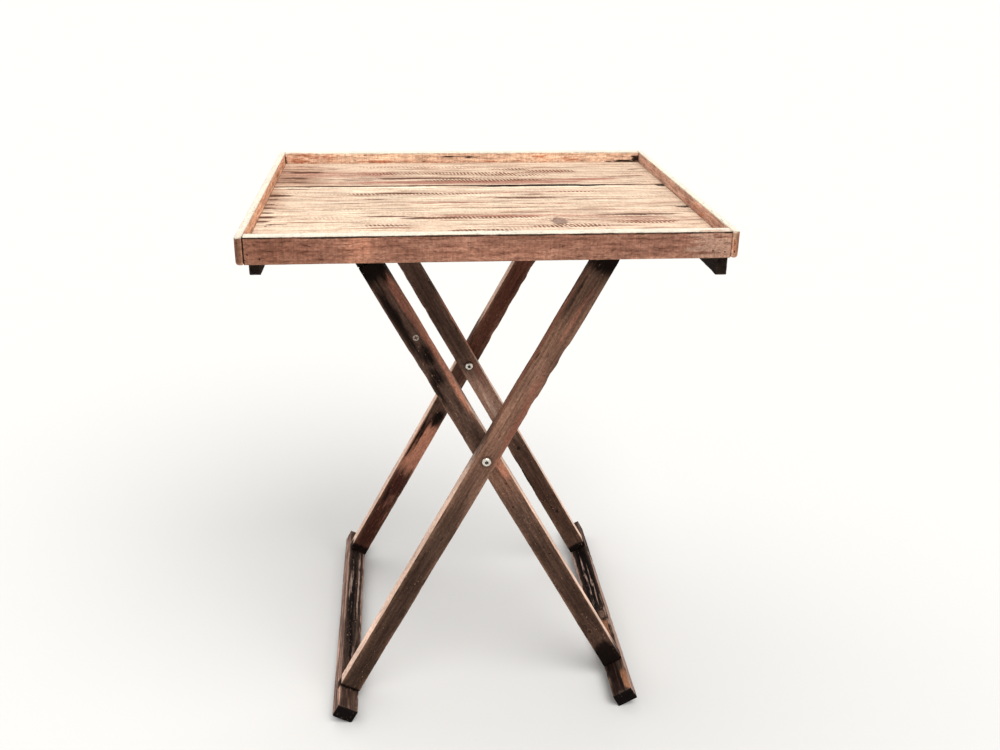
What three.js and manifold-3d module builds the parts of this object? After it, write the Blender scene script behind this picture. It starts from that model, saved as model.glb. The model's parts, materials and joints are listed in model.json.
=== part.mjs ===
// Rustic folding side table: a rimmed plank tray on a crossed-leg stand.
// Millimetres, +Z up, +X to the right along the tray's width, +Y to the back. The floor is z = 0.
//
// The stand is two frames that cross like an X and turn on two bolts. The outer frame runs from the
// floor on the left to the tray on the right, and the inner frame, which nests inside it, the other
// way. The tray is hinged to the tops of the outer legs and rests on the inner frame's top rail.
import * as THREE from "three";
import { mergeVertices } from "three/addons/utils/BufferGeometryUtils.js";
import Module from "manifold-3d";

const wasm = await Module();
wasm.setup();

// ---- Driving dimensions -------------------------------------------------------------------------

const GAP = 0.3; // left between any two pieces that touch
const EDGE = 1; // bevel along the long edges of sawn boards

const TRAY = { width: 600, depth: 530, rimHeight: 34.5, recess: 16 };
const SIDE_RIM = 9; // thickness of the left and right rims
const CROSS_RIM = 16; // thickness of the front and back rims
const RIM_WORN_EDGE = 4; // radius worn onto the side rims' lower outer edge
const PLANK_SEAMS = [-64, 73]; // where the front, middle and back planks meet, along y
const PLANK_GAP = 1.5;

const STOCK = { wide: 32, thick: 22 }; // sawn lath that the whole stand is made of
const LEAN = THREE.MathUtils.degToRad(28.5); // of each leg from the vertical
const LEG_BELOW_PIVOT = 418; // from the pivot to the leg's lower end
const PIVOT_TO_RIM_TOP = 337.5; // height of the rim above the pivot
const STAND_DEPTH = 390; // over the outer legs' outside faces
const LEG_GAP = 2; // between the outer and the inner legs, where a washer sits
const FLOOR_RAIL_LENGTH = 476;
const FOOT_WEAR = 2.5; // depth worn off the floor rails' lowest edge

const BATTEN = { thick: 15, deep: 25, inset: 277, back: 249 };
const BATTEN_FRONT = { left: -222, right: -253 };
const HINGE_DROP = 17.5; // of the tray's hinge axis below the planks
const HINGE_BATTEN = { thick: 22, deep: 30 };
const HINGE_PIN = { radius: 4, length: 38, inLeg: 15 };
const STOP_CLEAT = { thick: 20, deep: 22, length: 330 };
const CLEAT_SCREW_ROWS = [-120, 0, 120];

const BOLT = { shank: 3.9, head: 6.5, headHigh: 4.2, recess: 2, recessDeep: 2.2, tail: 3 };
const BOLT_HEAD_RIM = 1.2; // height of the head's straight side, under its dome
const BOLT_DOME_PULL = 5.6; // radius of the dome curve's middle control point
const BOLT_POINT = { in: 0.6, up: 0.8 }; // chamfer on the shank's end
const NUT = { acrossFlats: 13, high: 6.5 };
const WASHER = { radius: 8, thick: 1.4 };
const SCREW = { head: 4.2, cone: 2.4, shank: 2, tip: 5 };
const SCREW_BITE = 12; // how deep the screws from below reach into the planks
const RAIL_SCREW = { length: 52, aside: 6 }; // aside: off the leg's middle, to each side
const NAIL = { head: 2.6, headThick: 1.2, shank: 1.3, tip: 3, length: 42, belowTop: 14.5 };
const HOLE_MOUTH = 2; // how far a fastener's hole reaches out past its head
const ROUND = 24; // sides of a bolt, washer or pin
const SMALL_ROUND = 12; // sides of a screw or nail
const DOME_STEPS = 5; // segments up a bolt head's dome
const WORN_EDGE_STEPS = 8; // segments round a worn edge

// ---- Worked out from them -----------------------------------------------------------------------

const sinLean = Math.sin(LEAN);
const cosLean = Math.cos(LEAN);
const halfWide = STOCK.wide / 2;
const pivotHeight =
  (LEG_BELOW_PIVOT + STOCK.thick) * cosLean + halfWide * sinLean - FOOT_WEAR;
const rimTop = pivotHeight + PIVOT_TO_RIM_TOP;
const trayUnder = rimTop - TRAY.rimHeight;
const plankTop = rimTop - TRAY.recess;
const hingeHeight = trayUnder - HINGE_DROP;
const hingeReach = (hingeHeight - pivotHeight) / cosLean; // along a leg, from pivot to hinge axis
const hingeX = hingeReach * sinLean;

const outerFaceY = STAND_DEPTH / 2;
const outerLegY = outerFaceY - STOCK.thick / 2;
const innerLegY = outerLegY - STOCK.thick - LEG_GAP;
const topRailLength = 2 * innerLegY + STOCK.thick;
const innerLegTop = hingeReach - STOCK.thick / 2; // the top rail is centred as high as the hinge

// ---- Materials ----------------------------------------------------------------------------------

const FINISHES = {
  plank: { color: 0xe8cdb0, roughness: 0.85, metalness: 0 },
  rim: { color: 0xa87860, roughness: 0.8, metalness: 0 },
  batten: { color: 0x33261f, roughness: 0.9, metalness: 0 },
  leg: { color: 0x5e4a3e, roughness: 0.85, metalness: 0 },
  floorRail: { color: 0x3d322b, roughness: 0.9, metalness: 0 },
  bolt: { color: 0xc9ccd0, roughness: 0.3, metalness: 1 },
  fastener: { color: 0x9c9a94, roughness: 0.5, metalness: 1 },
};

function finish(name) {
  return new THREE.MeshStandardMaterial(FINISHES[name]);
}

// ---- Solids -------------------------------------------------------------------------------------

// A closed three.js geometry as a manifold-3d solid.
function solidOf(geometry) {
  const bare = geometry.index ? geometry.toNonIndexed() : geometry.clone();
  bare.deleteAttribute("normal");
  bare.deleteAttribute("uv");
  const merged = mergeVertices(bare, 1e-4);
  return new wasm.Manifold(
    new wasm.Mesh({
      numProp: 3,
      vertProperties: merged.attributes.position.array,
      triVerts: new Uint32Array(merged.index.array),
    }),
  );
}

// The other way: a manifold-3d solid as a three.js geometry.
function geometryOf(solid) {
  const mesh = solid.getMesh();
  const stride = mesh.numProp;
  const positions = new Float32Array(mesh.numVert * 3);
  for (let i = 0; i < mesh.numVert; i++) {
    const vertex = mesh.vertProperties.subarray(i * stride, i * stride + 3);
    positions.set(vertex, i * 3);
  }
  const geometry = new THREE.BufferGeometry();
  geometry.setAttribute("position", new THREE.BufferAttribute(positions, 3));
  geometry.setIndex(new THREE.BufferAttribute(mesh.triVerts, 1));
  const faceted = geometry.toNonIndexed();
  faceted.computeVertexNormals();
  return faceted;
}

function addMesh(group, name, geometry, finishName) {
  const mesh = new THREE.Mesh(geometry, finish(finishName));
  mesh.name = name;
  group.add(mesh);
  return mesh;
}

// A board's cross-section about its centre, with its four long edges bevelled.
function boardSection(width, height, bevel = EDGE) {
  const x = width / 2;
  const y = height / 2;
  const shape = new THREE.Shape();
  shape.moveTo(-x + bevel, -y);
  shape.lineTo(x - bevel, -y);
  shape.lineTo(x, -y + bevel);
  shape.lineTo(x, y - bevel);
  shape.lineTo(x - bevel, y);
  shape.lineTo(-x + bevel, y);
  shape.lineTo(-x, y - bevel);
  shape.lineTo(-x, -y + bevel);
  shape.closePath();
  return shape;
}

// A section drawn in XY, drawn out along +Z from 0.
function drawnOut(shape, length) {
  return new THREE.ExtrudeGeometry(shape, {
    depth: length,
    bevelEnabled: false,
    curveSegments: WORN_EDGE_STEPS,
  });
}

// A board between two corners, its length along the named axis.
function board(low, high, along) {
  const size = high.map((value, i) => value - low[i]);
  const centre = high.map((value, i) => (value + low[i]) / 2);
  let geometry;
  if (along === "x") {
    geometry = drawnOut(boardSection(size[2], size[1]), size[0]);
    geometry.translate(0, 0, -size[0] / 2).rotateY(Math.PI / 2);
  } else if (along === "y") {
    geometry = drawnOut(boardSection(size[0], size[2]), size[1]);
    geometry.translate(0, 0, -size[1] / 2).rotateX(Math.PI / 2);
  } else {
    geometry = drawnOut(boardSection(size[0], size[1]), size[2]);
    geometry.translate(0, 0, -size[2] / 2);
  }
  return solidOf(geometry.translate(...centre));
}

// A cylinder that lies along y, from one y to another.
function rodAlongY(radius, x, z, fromY, toY, sides = ROUND) {
  const geometry = new THREE.CylinderGeometry(radius, radius, toY - fromY, sides);
  return solidOf(geometry.translate(x, (fromY + toY) / 2, z));
}

// ---- Screws and nails ---------------------------------------------------------------------------

// Both are turned about the Y axis with the head's top at the origin and the point at -length.
function screwProfile(length, clearance = 0) {
  const neck = SCREW.cone + clearance;
  return [
    new THREE.Vector2(0, -length - clearance),
    new THREE.Vector2(SCREW.shank + clearance, -length + SCREW.tip),
    new THREE.Vector2(SCREW.shank + clearance, -neck),
    new THREE.Vector2(SCREW.head + clearance, 0),
  ];
}

function nailProfile(length, clearance = 0) {
  const underHead = NAIL.headThick + clearance;
  return [
    new THREE.Vector2(0, -length - clearance),
    new THREE.Vector2(NAIL.shank + clearance, -length + NAIL.tip),
    new THREE.Vector2(NAIL.shank + clearance, -underHead),
    new THREE.Vector2(NAIL.head + clearance, -underHead),
    new THREE.Vector2(NAIL.head + clearance, 0),
  ];
}

// A fastener's place: its head at `at`, driven along `into`. The head sits GAP under the surface.
class Fastener {
  constructor(name, profile, length, at, into) {
    this.name = name;
    this.profile = profile;
    this.length = length;
    this.at = new THREE.Vector3(...at);
    this.into = new THREE.Vector3(...into).normalize();
    this.turn = new THREE.Quaternion().setFromUnitVectors(
      new THREE.Vector3(0, -1, 0),
      this.into,
    );
  }

  addTo(group) {
    const points = this.profile(this.length);
    const top = new THREE.Vector2(0, 0);
    const geometry = new THREE.LatheGeometry([...points, top], SMALL_ROUND);
    const mesh = addMesh(group, this.name, geometry, "fastener");
    mesh.quaternion.copy(this.turn);
    mesh.position.copy(this.at).addScaledVector(this.into, GAP);
  }

  // What to cut away so that the fastener touches nothing.
  hole() {
    const points = this.profile(this.length, GAP);
    const widest = points[points.length - 1].x;
    const mouth = [new THREE.Vector2(widest, HOLE_MOUTH), new THREE.Vector2(0, HOLE_MOUTH)];
    const geometry = new THREE.LatheGeometry([...points, ...mouth], SMALL_ROUND);
    geometry.applyQuaternion(this.turn);
    const place = this.at.clone().addScaledVector(this.into, GAP);
    return solidOf(geometry.translate(place.x, place.y, place.z));
  }
}

function cutHoles(solid, fasteners) {
  return fasteners.reduce((left, fastener) => left.subtract(fastener.hole()), solid);
}

// ---- Tray ---------------------------------------------------------------------------------------

const halfWidth = TRAY.width / 2;
const halfDepth = TRAY.depth / 2;
const innerX = halfWidth - SIDE_RIM - GAP; // ends of the planks and the cross rims
const innerY = halfDepth - CROSS_RIM - GAP;

const PLANKS = [
  { name: "front", low: -innerY, high: PLANK_SEAMS[0] - PLANK_GAP / 2 },
  { name: "middle", low: PLANK_SEAMS[0] + PLANK_GAP / 2, high: PLANK_SEAMS[1] - PLANK_GAP / 2 },
  { name: "back", low: PLANK_SEAMS[1] + PLANK_GAP / 2, high: innerY },
];
const SIDES = [
  { name: "left", sign: -1 },
  { name: "right", sign: 1 },
];
const CROSS_RIMS = [
  { name: "front", sign: -1 },
  { name: "back", sign: 1 },
];
const ENDS = [
  { name: "front", sign: -1 },
  { name: "rear", sign: 1 },
];

// Screws that go up through a batten's or a cleat's underside into the planks.
function screwsUp(prefix, x, deep, rows) {
  const length = deep + GAP + SCREW_BITE;
  const underside = trayUnder - GAP - deep;
  return PLANKS.map((plank, i) => {
    const name = `${prefix}_screw_${plank.name}`;
    return new Fastener(name, screwProfile, length, [x, rows[i], underside], [0, 0, 1]);
  });
}

const plankMiddles = PLANKS.map((plank) => (plank.low + plank.high) / 2);
const topRailReach = halfWide * cosLean + (STOCK.thick / 2 + GAP) * sinLean; // to its left corner
const stopCleatRight = -hingeX - topRailReach - 2 * GAP;
const stopCleatX = stopCleatRight - STOP_CLEAT.thick / 2;
const battenX = BATTEN.inset + BATTEN.thick / 2;

const underScrews = [
  ...SIDES.flatMap(({ name, sign }) =>
    screwsUp(`batten_${name}`, sign * battenX, BATTEN.deep, plankMiddles),
  ),
  ...screwsUp("hinge_batten", hingeX, HINGE_BATTEN.deep, CLEAT_SCREW_ROWS),
  ...screwsUp("stop_cleat", stopCleatX, STOP_CLEAT.deep, CLEAT_SCREW_ROWS),
];

// One nail at each corner, through the side rim into the end of the front or back rim.
const rimNails = SIDES.flatMap((side) =>
  CROSS_RIMS.map((rim) => {
    const name = `rim_nail_${rim.name}_${side.name}`;
    const y = rim.sign * (halfDepth - CROSS_RIM / 2);
    const head = [side.sign * halfWidth, y, rimTop - NAIL.belowTop];
    return new Fastener(name, nailProfile, NAIL.length, head, [-side.sign, 0, 0]);
  }),
);

function makePlanks(group) {
  for (const plank of PLANKS) {
    const low = [-innerX, plank.low, trayUnder];
    const high = [innerX, plank.high, plankTop];
    const solid = cutHoles(board(low, high, "x"), underScrews);
    addMesh(group, `plank_${plank.name}`, geometryOf(solid), "plank");
  }
}

function makeCrossRims(group) {
  for (const { name, sign } of CROSS_RIMS) {
    const faces = [sign * halfDepth, sign * (halfDepth - CROSS_RIM)];
    const low = [-innerX, Math.min(...faces), trayUnder];
    const high = [innerX, Math.max(...faces), rimTop];
    const solid = cutHoles(board(low, high, "x"), rimNails);
    addMesh(group, `rim_${name}`, geometryOf(solid), "rim");
  }
}

// The side rims run past the front and back rims' ends, and their lower outer edge is worn round.
function makeSideRims(group) {
  for (const { name, sign } of SIDES) {
    const shape = new THREE.Shape();
    shape.moveTo(0, 0);
    shape.lineTo(SIDE_RIM - RIM_WORN_EDGE, 0);
    shape.absarc(SIDE_RIM - RIM_WORN_EDGE, RIM_WORN_EDGE, RIM_WORN_EDGE, -Math.PI / 2, 0, false);
    shape.lineTo(SIDE_RIM, TRAY.rimHeight - EDGE);
    shape.lineTo(SIDE_RIM - EDGE, TRAY.rimHeight);
    shape.lineTo(0, TRAY.rimHeight);
    shape.closePath();
    const geometry = drawnOut(shape, TRAY.depth);
    geometry.rotateX(Math.PI / 2).translate(0, halfDepth, 0);
    if (sign < 0) geometry.rotateZ(Math.PI);
    geometry.translate(sign * (halfWidth - SIDE_RIM), 0, trayUnder);
    const solid = cutHoles(solidOf(geometry), rimNails);
    addMesh(group, `rim_${name}`, geometryOf(solid), "rim");
  }
}

// Two battens on edge hold the planks together, near the left and right ends.
function makeBattens(group) {
  const top = trayUnder - GAP;
  for (const { name, sign } of SIDES) {
    const faces = [sign * BATTEN.inset, sign * (BATTEN.inset + BATTEN.thick)];
    const low = [Math.min(...faces), BATTEN_FRONT[name], top - BATTEN.deep];
    const high = [Math.max(...faces), BATTEN.back, top];
    const solid = cutHoles(board(low, high, "y"), underScrews);
    addMesh(group, `batten_${name}`, geometryOf(solid), "batten");
  }
}

// The tray turns on two pins in this batten's ends, which reach into the outer legs.
function makeHingeBatten(group) {
  const top = trayUnder - GAP;
  const end = outerFaceY - STOCK.thick - GAP;
  const half = HINGE_BATTEN.thick / 2;
  const low = [hingeX - half, -end, top - HINGE_BATTEN.deep];
  const high = [hingeX + half, end, top];
  let solid = cutHoles(board(low, high, "y"), underScrews);
  for (const { sign } of ENDS) {
    const { from, to } = hingePinSpan(sign);
    const hole = rodAlongY(HINGE_PIN.radius + GAP, hingeX, hingeHeight, from - GAP, to + GAP);
    solid = solid.subtract(hole);
  }
  addMesh(group, "hinge_batten", geometryOf(solid), "batten");
}

// Where a hinge pin starts and ends along y.
function hingePinSpan(sign) {
  const outer = outerFaceY - STOCK.thick + HINGE_PIN.inLeg;
  const ends = [sign * outer, sign * (outer - HINGE_PIN.length)];
  return { from: Math.min(...ends), to: Math.max(...ends) };
}

function makeHingePins(group) {
  for (const { name, sign } of ENDS) {
    const { from, to } = hingePinSpan(sign);
    const { radius } = HINGE_PIN;
    const geometry = new THREE.CylinderGeometry(radius, radius, to - from, ROUND);
    const pin = addMesh(group, `hinge_pin_${name}`, geometry, "fastener");
    pin.position.set(hingeX, (from + to) / 2, hingeHeight);
  }
}

// This cleat stops the inner frame's top rail from sliding outwards, and so holds the stand open.
function makeStopCleat(group) {
  const top = trayUnder - GAP;
  const low = [stopCleatRight - STOP_CLEAT.thick, -STOP_CLEAT.length / 2, top - STOP_CLEAT.deep];
  const high = [stopCleatRight, STOP_CLEAT.length / 2, top];
  const solid = cutHoles(board(low, high, "y"), underScrews);
  addMesh(group, "stop_cleat", geometryOf(solid), "batten");
}

function makeTray() {
  const tray = new THREE.Group();
  makePlanks(tray);
  makeCrossRims(tray);
  makeSideRims(tray);
  makeBattens(tray);
  makeHingeBatten(tray);
  makeHingePins(tray);
  makeStopCleat(tray);
  for (const fastener of [...underScrews, ...rimNails]) fastener.addTo(tray);
  return tray;
}

// ---- Stand --------------------------------------------------------------------------------------

// Each frame is drawn upright, with z along its legs, y across the stand and the pivot at its
// origin. Its group then leans it: the outer frame to the right (+1), the inner to the left (-1).

const frameBottom = -LEG_BELOW_PIVOT - STOCK.thick;
const boltHole = rodAlongY(BOLT.shank + GAP, 0, 0, -STAND_DEPTH, STAND_DEPTH);

// Two screws for each leg, through a rail into the leg's end.
function railScrews(railName, legY, railFace, into) {
  const { length, aside } = RAIL_SCREW;
  return ENDS.flatMap((end) =>
    [-aside, aside].map((x, i) => {
      const name = `${railName}_screw_${end.name}_${i + 1}`;
      const head = [x, end.sign * legY, railFace];
      return new Fastener(name, screwProfile, length, head, [0, 0, into]);
    }),
  );
}

// A rail laid flat across the legs' ends. The floor wears its lowest edge flat.
function makeFloorRail(group, name, lean, fasteners) {
  const top = -LEG_BELOW_PIVOT - GAP;
  const half = FLOOR_RAIL_LENGTH / 2;
  const uncut = board([-halfWide, -half, frameBottom], [halfWide, half, top], "y");
  const worn = uncut.trimByPlane([-lean * sinLean, 0, cosLean], -pivotHeight);
  addMesh(group, name, geometryOf(cutHoles(worn, fasteners)), "floorRail");
}

function frameGroup(lean) {
  const group = new THREE.Group();
  group.position.z = pivotHeight;
  group.rotation.y = lean * LEAN;
  return group;
}

// An outer leg: square at the floor rail, and round at the top about the tray's hinge axis.
function roundTopLeg(middleY) {
  const shape = new THREE.Shape();
  shape.moveTo(-halfWide, -LEG_BELOW_PIVOT);
  shape.lineTo(halfWide, -LEG_BELOW_PIVOT);
  shape.lineTo(halfWide, hingeReach);
  shape.absarc(0, hingeReach, halfWide, 0, Math.PI, false);
  shape.closePath();
  const geometry = new THREE.ExtrudeGeometry(shape, {
    depth: STOCK.thick - 2 * EDGE,
    bevelThickness: EDGE,
    bevelSize: EDGE,
    bevelOffset: -EDGE,
    bevelSegments: 1,
    curveSegments: ROUND / 2,
  });
  geometry.translate(0, 0, EDGE - STOCK.thick / 2).rotateX(Math.PI / 2);
  return solidOf(geometry.translate(0, middleY, 0));
}

function makeOuterFrame() {
  const frame = frameGroup(1);
  const screws = railScrews("floor_rail_left", outerLegY, frameBottom, 1);
  makeFloorRail(frame, "floor_rail_left", 1, screws);
  for (const { name, sign } of ENDS) {
    const { from, to } = hingePinSpan(sign);
    const pinHole = rodAlongY(HINGE_PIN.radius + GAP, 0, hingeReach, from - GAP, to + GAP);
    const leg = roundTopLeg(sign * outerLegY).subtract(pinHole).subtract(boltHole);
    addMesh(frame, `outer_leg_${name}`, geometryOf(cutHoles(leg, screws)), "leg");
  }
  for (const screw of screws) screw.addTo(frame);
  return frame;
}

function makeInnerFrame() {
  const frame = frameGroup(-1);
  const topFace = innerLegTop + GAP + STOCK.thick;
  const floorScrews = railScrews("floor_rail_right", innerLegY, frameBottom, 1);
  const topScrews = railScrews("top_rail", innerLegY, topFace, -1);
  const screws = [...floorScrews, ...topScrews];
  makeFloorRail(frame, "floor_rail_right", -1, floorScrews);
  const half = topRailLength / 2;
  const topRail = board([-halfWide, -half, innerLegTop + GAP], [halfWide, half, topFace], "y");
  addMesh(frame, "top_rail", geometryOf(cutHoles(topRail, topScrews)), "leg");
  for (const { name, sign } of ENDS) {
    const y = sign * innerLegY;
    const low = [-halfWide, y - STOCK.thick / 2, -LEG_BELOW_PIVOT];
    const high = [halfWide, y + STOCK.thick / 2, innerLegTop];
    const leg = board(low, high, "z").subtract(boltHole);
    addMesh(frame, `inner_leg_${name}`, geometryOf(cutHoles(leg, screws)), "leg");
  }
  for (const screw of screws) screw.addTo(frame);
  return frame;
}

// ---- Pivot bolts --------------------------------------------------------------------------------

// Domed head with a round driver recess, turned about Y with the head at +Y above y = 0.
function boltGeometry(length) {
  const { shank, head, headHigh, recess, recessDeep } = BOLT;
  const dome = new THREE.QuadraticBezierCurve(
    new THREE.Vector2(head, BOLT_HEAD_RIM),
    new THREE.Vector2(BOLT_DOME_PULL, headHigh),
    new THREE.Vector2(recess, headHigh),
  );
  const profile = [
    new THREE.Vector2(0, -length),
    new THREE.Vector2(shank - BOLT_POINT.in, -length),
    new THREE.Vector2(shank, -length + BOLT_POINT.up),
    new THREE.Vector2(shank, 0),
    new THREE.Vector2(head, 0),
    ...dome.getPoints(DOME_STEPS),
    new THREE.Vector2(recess, headHigh - recessDeep),
    new THREE.Vector2(0, headHigh - recessDeep),
  ];
  return new THREE.LatheGeometry(profile, ROUND);
}

// A flat ring about the Y axis, with the bolt's hole through it.
function ringGeometry(outline, thick) {
  const bore = BOLT.shank + GAP;
  outline.holes.push(new THREE.Path().absarc(0, 0, bore, 0, 2 * Math.PI, true));
  const geometry = new THREE.ExtrudeGeometry(outline, {
    depth: thick,
    bevelEnabled: false,
    curveSegments: ROUND,
  });
  return geometry.translate(0, 0, -thick / 2).rotateX(Math.PI / 2);
}

function circle(radius) {
  return new THREE.Shape().absarc(0, 0, radius, 0, 2 * Math.PI, false);
}

function hexagon(acrossFlats) {
  const radius = acrossFlats / Math.sqrt(3);
  const shape = new THREE.Shape();
  for (let i = 0; i < 6; i++) {
    const angle = (i * Math.PI) / 3;
    const point = [radius * Math.cos(angle), radius * Math.sin(angle)];
    if (i === 0) shape.moveTo(...point);
    else shape.lineTo(...point);
  }
  shape.closePath();
  return shape;
}

// Both bolts go in from the front. `face` is the wood under the head and `back` the wood under the
// nut's washer; the third washer keeps the two legs apart.
function makePivot(group, name, face, back, between) {
  const stack = back + GAP + WASHER.thick + GAP + NUT.high;
  const length = stack + BOLT.tail - (face - GAP);
  const bolt = addMesh(group, `pivot_bolt_${name}`, boltGeometry(length), "bolt");
  bolt.rotation.x = Math.PI;
  bolt.position.set(0, face - GAP, pivotHeight);
  const washerY = back + GAP + WASHER.thick / 2;
  const nutY = stack - NUT.high / 2;
  const rings = [
    { kind: "pivot_spacer", outline: circle(WASHER.radius), thick: WASHER.thick, y: between },
    { kind: "nut_washer", outline: circle(WASHER.radius), thick: WASHER.thick, y: washerY },
    { kind: "pivot_nut", outline: hexagon(NUT.acrossFlats), thick: NUT.high, y: nutY },
  ];
  for (const { kind, outline, thick, y } of rings) {
    const ring = addMesh(group, `${kind}_${name}`, ringGeometry(outline, thick), "bolt");
    ring.position.set(0, y, pivotHeight);
  }
}

function makePivots() {
  const pivots = new THREE.Group();
  const half = STOCK.thick / 2;
  const between = (outerLegY + innerLegY) / 2;
  makePivot(pivots, "front", -outerLegY - half, -innerLegY + half, -between);
  makePivot(pivots, "rear", innerLegY - half, outerLegY + half, between);
  return pivots;
}

// ---- Table --------------------------------------------------------------------------------------

const table = new THREE.Group();
table.add(makeTray());
table.add(makeOuterFrame());
table.add(makeInnerFrame());
table.add(makePivots());

export default table;
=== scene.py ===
"""The looks of the folding side table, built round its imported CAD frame. Metres, +Z up.

Every wooden part of the table is redrawn as a rough-sawn board in place of its CAD node, and every
bolt, nut, washer, screw and nail as a turned piece. Boards are drawn in millimetres, each in its
own run coordinates: x along the board, y across its wide face and z through it.
"""

import json
import math

import bpy
import numpy as np
from mathutils import Matrix, Vector, noise


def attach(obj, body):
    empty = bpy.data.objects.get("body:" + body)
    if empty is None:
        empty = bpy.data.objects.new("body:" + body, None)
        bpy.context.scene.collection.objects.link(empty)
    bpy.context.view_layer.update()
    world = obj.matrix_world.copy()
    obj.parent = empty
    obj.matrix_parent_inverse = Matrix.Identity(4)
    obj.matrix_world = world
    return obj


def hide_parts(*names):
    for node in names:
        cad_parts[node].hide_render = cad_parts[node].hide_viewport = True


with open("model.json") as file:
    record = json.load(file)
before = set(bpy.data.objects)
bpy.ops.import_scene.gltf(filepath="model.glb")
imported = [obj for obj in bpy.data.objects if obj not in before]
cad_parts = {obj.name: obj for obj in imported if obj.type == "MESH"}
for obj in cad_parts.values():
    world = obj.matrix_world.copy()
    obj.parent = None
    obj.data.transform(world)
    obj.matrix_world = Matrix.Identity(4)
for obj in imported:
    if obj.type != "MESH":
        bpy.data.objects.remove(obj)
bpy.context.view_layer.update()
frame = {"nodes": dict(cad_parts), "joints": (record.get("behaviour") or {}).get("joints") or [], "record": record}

MM = 0.001

BODY_OF = {
    node: body
    for body, nodes in frame["record"]["behaviour"]["bodies"].items()
    for node in nodes
}
JOINTS = {joint["name"]: joint for joint in frame["joints"]}
PIVOT = Vector(JOINTS["stand_fold"]["pos_m"])
HINGE = Vector(JOINTS["tray_tilt"]["pos_m"])
LEAN = math.atan2(HINGE.x - PIVOT.x, HINGE.z - PIVOT.z)

# Where run coordinates start: the tray's at the middle of the floor, a leg's at the pivot.
SPACES = {
    "tray": Matrix.Identity(4),
    "outer": Matrix.Translation(PIVOT) @ Matrix.Rotation(LEAN, 4, "Y"),
    "inner": Matrix.Translation(PIVOT) @ Matrix.Rotation(-LEAN, 4, "Y"),
}
AXES = {"x": Vector((1, 0, 0)), "y": Vector((0, 1, 0)), "z": Vector((0, 0, 1))}


def linear(colour):
    """An sRGB colour, 0 to 255, as the linear RGBA that shaders take."""
    shares = [value / 255 for value in colour]
    return (*[s / 12.92 if s <= 0.04045 else ((s + 0.055) / 1.055) ** 2.4 for s in shares], 1)


# ---- Materials ----------------------------------------------------------------------------------


class Shader:
    """A node material under construction. Values passed in are sockets or plain values."""

    def __init__(self, name):
        self.material = bpy.data.materials.new(name)
        self.material.use_nodes = True
        self.tree = self.material.node_tree
        self.tree.nodes.clear()

    def add(self, kind, values=(), **settings):
        """A node. A plain value for a colour socket is an sRGB colour, 0 to 255."""
        node = self.tree.nodes.new(kind)
        for key, value in settings.items():
            setattr(node, key, value)
        for key, value in dict(values).items():
            socket = node.inputs[key]
            if isinstance(value, bpy.types.NodeSocket):
                self.tree.links.new(value, socket)
            else:
                socket.default_value = linear(value) if socket.type == "RGBA" else value
        return node

    def attribute(self, name, output="Fac"):
        return self.add("ShaderNodeAttribute", attribute_name=name).outputs[output]

    def math(self, operation, a, b=0.0, clamp=False):
        node = self.add("ShaderNodeMath", {0: a, 1: b}, operation=operation, use_clamp=clamp)
        return node.outputs[0]

    def plus(self, a, b):
        return self.math("ADD", a, b)

    def minus(self, a, b):
        return self.math("SUBTRACT", a, b)

    def times(self, first, *others):
        for other in others:
            first = self.math("MULTIPLY", first, other)
        return first

    def most(self, a, b):
        return self.math("MAXIMUM", a, b)

    def vector(self, operation, a, b=(0, 0, 0)):
        return self.add("ShaderNodeVectorMath", {0: a, 1: b}, operation=operation).outputs[0]

    def distance(self, a, b=(0, 0, 0)):
        node = self.add("ShaderNodeVectorMath", {0: a, 1: b}, operation="DISTANCE")
        return node.outputs["Value"]

    def noise(self, at, size, detail=2.0, roughness=0.5):
        """Noise from 0 to 1 whose features are about `size` mm along, across and through."""
        scaled = self.vector("DIVIDE", at, size)
        values = {"Vector": scaled, "Scale": 1.0, "Detail": detail, "Roughness": roughness}
        return self.add("ShaderNodeTexNoise", values).outputs[0]

    def rise(self, value, low, high):
        """0 below `low`, 1 above `high`, and smooth between."""
        values = {"Value": value, "From Min": low, "From Max": high}
        node = self.add("ShaderNodeMapRange", values, interpolation_type="SMOOTHSTEP")
        return node.outputs[0]

    def spread(self, value, low, high):
        """0 to 1 turned into low to high."""
        values = {"Value": value, "To Min": low, "To Max": high}
        return self.add("ShaderNodeMapRange", values).outputs[0]

    def ramp(self, value, stops):
        node = self.add("ShaderNodeValToRGB", {0: value})
        elements = node.color_ramp.elements
        for position, colour in stops[:-2]:
            elements.new(position).color = linear(colour)
        for element, (position, colour) in zip(list(elements)[-2:], stops[-2:]):
            element.position = position
            element.color = linear(colour)
        return node.outputs[0]

    def mix(self, share, a, b, blend="MIX"):
        node = self.add("ShaderNodeMix", {0: share, 6: a, 7: b}, data_type="RGBA", blend_type=blend)
        return node.outputs[2]

    def tint(self, a, b):
        """One colour multiplied by another."""
        return self.mix(1.0, a, b, "MULTIPLY")

    def finish(self, values, height):
        """Ends the material in a Principled shader, with bumps as high as `height` says in mm."""
        bump = self.add("ShaderNodeBump", {"Height": height, "Distance": MM})
        values = {**values, "Normal": bump.outputs[0]}
        shader = self.add("ShaderNodeBsdfPrincipled", values)
        self.add("ShaderNodeOutputMaterial", {"Surface": shader.outputs[0]})
        return self.material


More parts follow.
